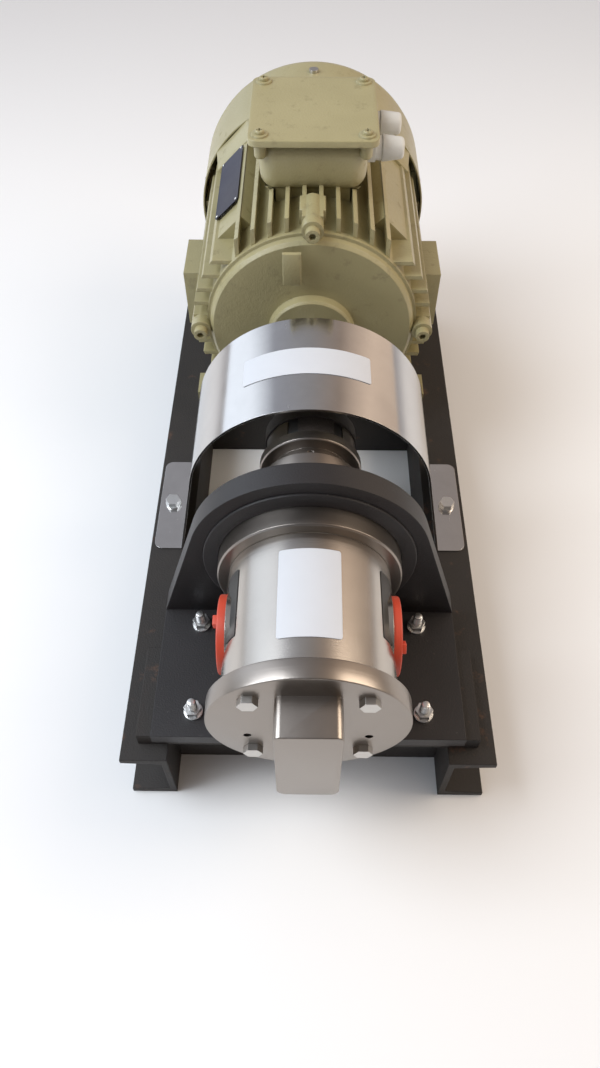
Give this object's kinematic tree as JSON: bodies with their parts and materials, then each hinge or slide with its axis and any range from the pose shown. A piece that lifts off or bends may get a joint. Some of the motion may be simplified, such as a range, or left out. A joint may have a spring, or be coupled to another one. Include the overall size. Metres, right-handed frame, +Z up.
{
  "type": "gear pump",
  "caption": "External gear pump with side ports, jaw coupling under an arched guard and a finned foot motor on a channel skid.",
  "frame": {"origin": "on the floor, under the middle of the set's bounding box", "axes": "+Z up, +Y along the shafts from the pump to the motor, +X to the right seen from the pump end"},
  "size_m": [0.317, 0.744, 0.3823],
  "materials": {
    "black_paint": "matt black paint over rusty steel",
    "bracket_paint": "satin black paint",
    "zinc_plate": "bright zinc",
    "machined_stainless": "fine machined",
    "turned_stainless": "turned",
    "bolt_stainless": "satin",
    "tool_steel": "ground",
    "bronze": "plain",
    "gasket": "paper",
    "rubber": "plain",
    "red_plastic": "moulded",
    "black_iron": "as cast",
    "dark_screw": "oiled",
    "guard_sheet": "bright rolled sheet",
    "motor_paint": "gloss khaki paint",
    "laminations": "stacked sheet",
    "copper": "enamelled",
    "black_plastic": "moulded",
    "white_plastic": "moulded"
  },
  "bodies": {
    "skid": {"rail_left": "black_paint", "rail_right": "black_paint", "front_cross_member": "black_paint", "motor_cross_member_front": "black_paint", "motor_cross_member_rear": "black_paint", "front_packer": "black_paint", "rear_packer": "black_paint", "pump_bracket": "bracket_paint", "foot_studs": "zinc_plate", "foot_washers": "zinc_plate", "foot_nuts": "zinc_plate", "front_cover": "machined_stainless", "front_gasket": "gasket", "pump_body": "turned_stainless", "rear_gasket": "gasket", "rear_cover": "machined_stainless", "cover_bolts": "bolt_stainless", "bracket_bolts": "bolt_stainless", "shaft_bushes": "bronze", "seal_housing": "machined_stainless", "housing_screws": "bolt_stainless", "shaft_seal": "rubber", "coupling_guard": "guard_sheet", "guard_bolts": "zinc_plate", "guard_washers": "zinc_plate", "motor_frame": "motor_paint", "drive_end_shield": "motor_paint", "drive_end_bolts": "motor_paint", "rear_end_shield": "motor_paint", "rear_end_bolts": "motor_paint", "fan_cowl": "motor_paint", "cowl_screws": "bolt_stainless", "bearing_outer_rings": "tool_steel", "stator_core": "laminations", "stator_windings": "copper", "motor_foot_bolts": "zinc_plate", "motor_foot_nuts": "zinc_plate", "terminal_box": "motor_paint", "terminal_gasket": "gasket", "terminal_lid": "motor_paint", "lid_screws": "motor_paint", "terminal_block": "black_plastic", "cable_glands": "white_plastic"},
    "drive_line": {"drive_gear": "tool_steel", "drive_shaft": "tool_steel", "pump_coupling_half": "machined_stainless", "pump_key": "tool_steel", "coupling_element": "rubber", "motor_coupling_half": "black_iron", "motor_key": "tool_steel", "hub_set_screws": "dark_screw", "motor_shaft": "tool_steel", "bearing_inner_rings": "tool_steel", "rotor_core": "laminations", "cooling_fan": "black_plastic"},
    "driven_line": {"driven_gear": "tool_steel", "driven_shaft": "tool_steel"},
    "suction_cap_body": {"suction_cap": "red_plastic"},
    "discharge_cap_body": {"discharge_cap": "red_plastic"}
  },
  "joints": [
    {"name": "drive_spin", "type": "hinge", "parent": "skid", "child": "drive_line", "pos_m": [0, 0, 0.207], "axis": [0, 1, 0], "continuous": true},
    {"name": "driven_spin", "type": "hinge", "parent": "skid", "child": "driven_line", "pos_m": [0, 0, 0.159], "axis": [0, 1, 0], "continuous": true},
    {"name": "suction_cap_pull", "type": "slide", "parent": "skid", "child": "suction_cap_body", "axis": [-1, 0, 0], "range_m": [0, 0.04]},
    {"name": "discharge_cap_pull", "type": "slide", "parent": "skid", "child": "discharge_cap_body", "axis": [1, 0, 0], "range_m": [0, 0.04]}
  ],
  "couplings": [
    {"joint": "driven_spin", "follows": "drive_spin", "ratio": -1}
  ]
}
